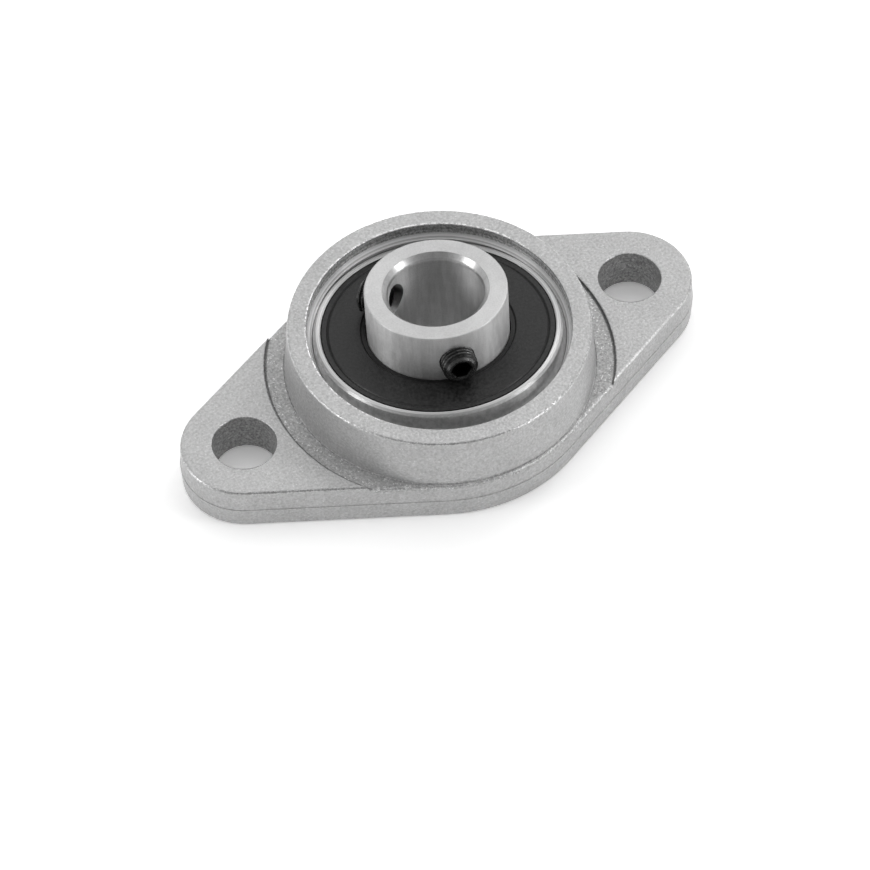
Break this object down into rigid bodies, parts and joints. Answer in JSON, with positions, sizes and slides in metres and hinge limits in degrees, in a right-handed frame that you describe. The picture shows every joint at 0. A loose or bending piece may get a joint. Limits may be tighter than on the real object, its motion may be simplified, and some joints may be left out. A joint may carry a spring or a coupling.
{
  "type": "flange bearing unit",
  "caption": "Rhombic flange bearing unit: a cast housing with a bolt hole in each ear holds a self-aligning sealed ball bearing, whose collar grips the shaft with socket set screws.",
  "frame": {"origin": "centre of the flange's mounting face, on the boss's axis", "axes": "+Z along the boss, towards the collar; +X along the line of the bolt holes"},
  "size_m": [0.048, 0.027, 0.013],
  "materials": {
    "casting": "blasted zinc alloy casting, fine grained, light grey",
    "bearing_ring": "ground and polished bearing steel",
    "collar": "turned and ground steel with a bright edge",
    "seal": "satin black moulded rubber",
    "ball": "polished bearing steel",
    "cage": "pressed steel sheet",
    "screw": "black oxide steel, slightly oily"
  },
  "bodies": {
    "housing": {"housing": "casting"},
    "outer_ring": {"outer_ring": "bearing_ring", "front_seal": "seal", "back_seal": "seal"},
    "inner_ring": {"inner_ring": "collar"},
    "cage": {"cage_front_half": "cage", "cage_back_half": "cage", "cage_rivets": "cage"},
    "ball_1": {"ball_1": "ball"},
    "ball_2": {"ball_2": "ball"},
    "ball_3": {"ball_3": "ball"},
    "ball_4": {"ball_4": "ball"},
    "ball_5": {"ball_5": "ball"},
    "ball_6": {"ball_6": "ball"},
    "ball_7": {"ball_7": "ball"},
    "set_screw_front": {"set_screw_front": "screw"},
    "set_screw_side": {"set_screw_side": "screw"}
  },
  "joints": [
    {"name": "insert_swivel", "type": "hinge", "parent": "housing", "child": "outer_ring", "pos_m": [0, 0, 0.00457], "axis": [-0.9796, 0.2011, 0], "range_deg": [-12, 0]},
    {"name": "inner_ring_spin", "type": "hinge", "parent": "outer_ring", "child": "inner_ring", "pos_m": [0, 0, 0.00457], "axis": [0.021, 0.1024, 0.9945], "continuous": true},
    {"name": "cage_spin", "type": "hinge", "parent": "outer_ring", "child": "cage", "pos_m": [0, 0, 0.00457], "axis": [0.021, 0.1024, 0.9945], "continuous": true},
    {"name": "ball_1_roll", "type": "hinge", "parent": "cage", "child": "ball_1", "pos_m": [0.00751, -0.00001, 0.00441], "axis": [0.021, 0.1024, 0.9945], "continuous": true},
    {"name": "ball_2_roll", "type": "hinge", "parent": "cage", "child": "ball_2", "pos_m": [0.00468, 0.00584, 0.00387], "axis": [0.021, 0.1024, 0.9945], "continuous": true},
    {"name": "ball_3_roll", "type": "hinge", "parent": "cage", "child": "ball_3", "pos_m": [-0.00168, 0.00729, 0.00385], "axis": [0.021, 0.1024, 0.9945], "continuous": true},
    {"name": "ball_4_roll", "type": "hinge", "parent": "cage", "child": "ball_4", "pos_m": [-0.00677, 0.00325, 0.00438], "axis": [0.021, 0.1024, 0.9945], "continuous": true},
    {"name": "ball_5_roll", "type": "hinge", "parent": "cage", "child": "ball_5", "pos_m": [-0.00677, -0.00324, 0.00505], "axis": [0.021, 0.1024, 0.9945], "continuous": true},
    {"name": "ball_6_roll", "type": "hinge", "parent": "cage", "child": "ball_6", "pos_m": [-0.00166, -0.00729, 0.00536], "axis": [0.021, 0.1024, 0.9945], "continuous": true},
    {"name": "ball_7_roll", "type": "hinge", "parent": "cage", "child": "ball_7", "pos_m": [0.00469, -0.00585, 0.00507], "axis": [0.021, 0.1024, 0.9945], "continuous": true},
    {"name": "set_screw_front_travel", "type": "slide", "parent": "inner_ring", "child": "set_screw_front", "axis": [-0.2034, -0.9735, 0.1045], "range_m": [-0.0007, 0.00065]},
    {"name": "set_screw_side_travel", "type": "slide", "parent": "inner_ring", "child": "set_screw_side", "axis": [-0.6368, 0.7683, -0.0656], "range_m": [-0.00035, 0.001]}
  ],
  "couplings": [
    {"joint": "cage_spin", "follows": "inner_ring_spin", "ratio": 0.3679},
    {"joint": "ball_1_roll", "follows": "inner_ring_spin", "ratio": -1.7609},
    {"joint": "ball_2_roll", "follows": "inner_ring_spin", "ratio": -1.7609},
    {"joint": "ball_3_roll", "follows": "inner_ring_spin", "ratio": -1.7609},
    {"joint": "ball_4_roll", "follows": "inner_ring_spin", "ratio": -1.7609},
    {"joint": "ball_5_roll", "follows": "inner_ring_spin", "ratio": -1.7609},
    {"joint": "ball_6_roll", "follows": "inner_ring_spin", "ratio": -1.7609},
    {"joint": "ball_7_roll", "follows": "inner_ring_spin", "ratio": -1.7609}
  ]
}
